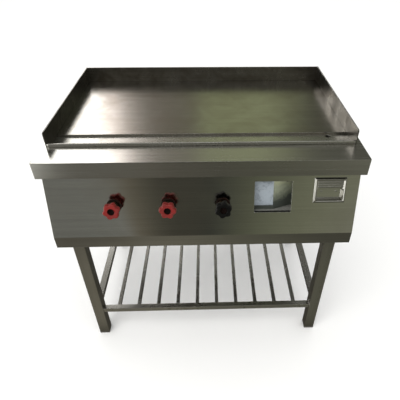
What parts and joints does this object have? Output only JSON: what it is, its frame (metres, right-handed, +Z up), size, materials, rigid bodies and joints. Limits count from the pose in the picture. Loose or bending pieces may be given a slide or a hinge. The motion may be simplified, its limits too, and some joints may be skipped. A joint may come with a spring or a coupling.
{
  "type": "flat top griddle",
  "caption": "Gas flat top griddle in brushed steel: plate with low guards and a trough, slanted panel with star knobs, lighting window and grease drawer, on an open stand with a bar shelf.",
  "frame": {"origin": "on the floor, in the middle of the footprint", "axes": "+X along the front to the cook's right, +Y to the back, +Z up"},
  "size_m": [0.914, 0.6884, 0.908],
  "materials": {
    "sheet_steel": "satin brushed",
    "guard_steel": "satin brushed, smoked",
    "plate_steel": "ground bright steel",
    "tube_steel": "satin brushed",
    "bar_steel": "satin brushed",
    "inner_steel": "plain mill finish",
    "burner_steel": "heat darkened",
    "pipe_metal": "dull galvanised",
    "pilot_metal": "dull copper alloy",
    "valve_metal": "dull, darkened",
    "spindle_metal": "turned",
    "red_plastic": "glossy",
    "black_plastic": "glossy",
    "plug_plastic": "matte",
    "board": "fibrous mineral board",
    "shield_steel": "bright, unpolished",
    "ledge_steel": "spangled galvanised",
    "drawer_steel": "satin brushed, bright edges"
  },
  "bodies": {
    "frame": {"back_guard": "guard_steel", "back_panel": "sheet_steel", "burner_1": "burner_steel", "burner_2": "burner_steel", "control_panel": "sheet_steel", "drain_spout": "guard_steel", "front_left_leg": "tube_steel", "front_left_plug": "plug_plastic", "front_right_leg": "tube_steel", "front_right_plug": "plug_plastic", "front_shelf_rail": "tube_steel", "front_support_rail": "inner_steel", "gas_manifold": "pipe_metal", "grease_trough": "guard_steel", "griddle_plate": "plate_steel", "left_burner_rail": "inner_steel", "left_drawer_guide": "inner_steel", "left_guard": "guard_steel", "left_shelf_rail": "tube_steel", "left_side_panel": "sheet_steel", "pilot_tube": "pilot_metal", "rear_left_leg": "tube_steel", "rear_left_plug": "plug_plastic", "rear_right_leg": "tube_steel", "rear_right_plug": "plug_plastic", "rear_shelf_rail": "tube_steel", "rear_support_rail": "inner_steel", "right_burner_rail": "inner_steel", "right_drawer_guide": "inner_steel", "right_guard": "guard_steel", "right_shelf_rail": "tube_steel", "right_side_panel": "sheet_steel", "shelf_bar_1": "bar_steel", "shelf_bar_10": "bar_steel", "shelf_bar_2": "bar_steel", "shelf_bar_3": "bar_steel", "shelf_bar_4": "bar_steel", "shelf_bar_5": "bar_steel", "shelf_bar_6": "bar_steel", "shelf_bar_7": "bar_steel", "shelf_bar_8": "bar_steel", "shelf_bar_9": "bar_steel", "valve_1": "valve_metal", "valve_2": "valve_metal", "valve_3": "valve_metal", "window_board": "board", "window_ledge": "ledge_steel", "window_shield": "shield_steel", "worktop": "sheet_steel"},
    "drawer": {"drawer_tray": "drawer_steel", "drawer_front": "drawer_steel"},
    "left_knob": {"knob_1": "red_plastic", "spindle_1": "spindle_metal"},
    "middle_knob": {"knob_2": "red_plastic", "spindle_2": "spindle_metal"},
    "pilot_knob": {"knob_3": "black_plastic", "spindle_3": "spindle_metal"},
    "rear_air_shutter": {"air_shutter_1": "burner_steel"},
    "front_air_shutter": {"air_shutter_2": "burner_steel"}
  },
  "joints": [
    {"name": "left_knob_turn", "type": "hinge", "parent": "frame", "child": "left_knob", "pos_m": [-0.2555, -0.29591, 0.72526], "axis": [0, -0.9698, 0.2438], "range_deg": [0, 540]},
    {"name": "middle_knob_turn", "type": "hinge", "parent": "frame", "child": "middle_knob", "pos_m": [-0.1003, -0.29591, 0.72526], "axis": [0, -0.9698, 0.2438], "range_deg": [0, 540]},
    {"name": "pilot_knob_turn", "type": "hinge", "parent": "frame", "child": "pilot_knob", "pos_m": [0.0549, -0.29591, 0.72526], "axis": [0, -0.9698, 0.2438], "range_deg": [0, 540]},
    {"name": "rear_shutter_turn", "type": "hinge", "parent": "frame", "child": "rear_air_shutter", "pos_m": [-0.2555, -0.2198, 0.71551], "axis": [0, 1, 0], "range_deg": [0, 60]},
    {"name": "front_shutter_turn", "type": "hinge", "parent": "frame", "child": "front_air_shutter", "pos_m": [-0.1003, -0.2198, 0.71551], "axis": [0, 1, 0], "range_deg": [0, 60]},
    {"name": "drawer_slide", "type": "slide", "parent": "frame", "child": "drawer", "axis": [0, -1, 0], "range_m": [0, 0.15]}
  ]
}
